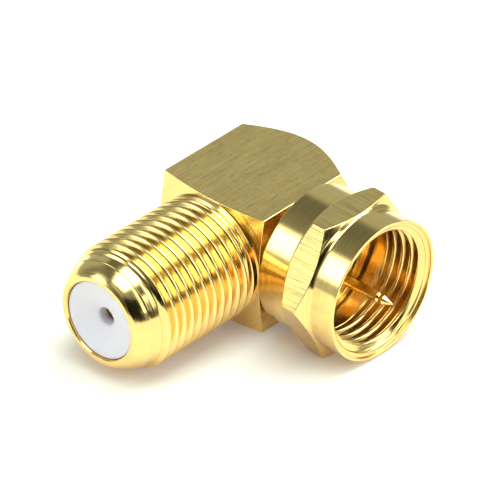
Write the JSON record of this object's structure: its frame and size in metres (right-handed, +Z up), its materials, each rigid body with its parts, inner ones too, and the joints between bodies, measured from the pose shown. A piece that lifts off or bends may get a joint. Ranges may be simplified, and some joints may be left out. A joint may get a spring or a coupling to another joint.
{
  "type": "right-angle f-type coaxial adapter",
  "caption": "Right-angle coaxial adapter: a square gold-plated block with a threaded jack barrel on one side and a pin plug with a swivelling hex nut on the next.",
  "frame": {"origin": "on the block's bottom flat, straight below the point where the plug axis and the jack axis cross (4.8 mm below it)", "axes": "+X leaves the plug along its pin, -Y leaves the jack along its barrel, +Z is up, normal to the block's flats"},
  "size_m": [0.0185, 0.0222, 0.011],
  "materials": {
    "gold_plated_brass": "polished gold plating",
    "gold_plated_inner": "gold plating",
    "spring_bronze": "satin spring bronze",
    "white_dielectric": "smooth matte white",
    "solder": "dull solder"
  },
  "bodies": {
    "adapter_body": {"housing": "gold_plated_brass", "jack_insulator": "white_dielectric", "jack_contact": "gold_plated_inner", "contact_bead": "white_dielectric", "rear_cap": "gold_plated_brass", "plug_ferrule": "gold_plated_brass", "plug_insulator": "white_dielectric", "centre_pin": "gold_plated_inner", "solder_fillet": "solder"},
    "retaining_ring": {"snap_ring": "spring_bronze"},
    "nut": {"coupling_nut": "gold_plated_brass"}
  },
  "joints": [
    {"name": "nut_lift", "type": "slide", "parent": "adapter_body", "child": "retaining_ring", "axis": [0, 0, -1], "range_m": [0, 0.0007]},
    {"name": "nut_spin", "type": "hinge", "parent": "retaining_ring", "child": "nut", "pos_m": [0.009, 0, 0.0055], "axis": [1, 0, 0], "continuous": true}
  ]
}
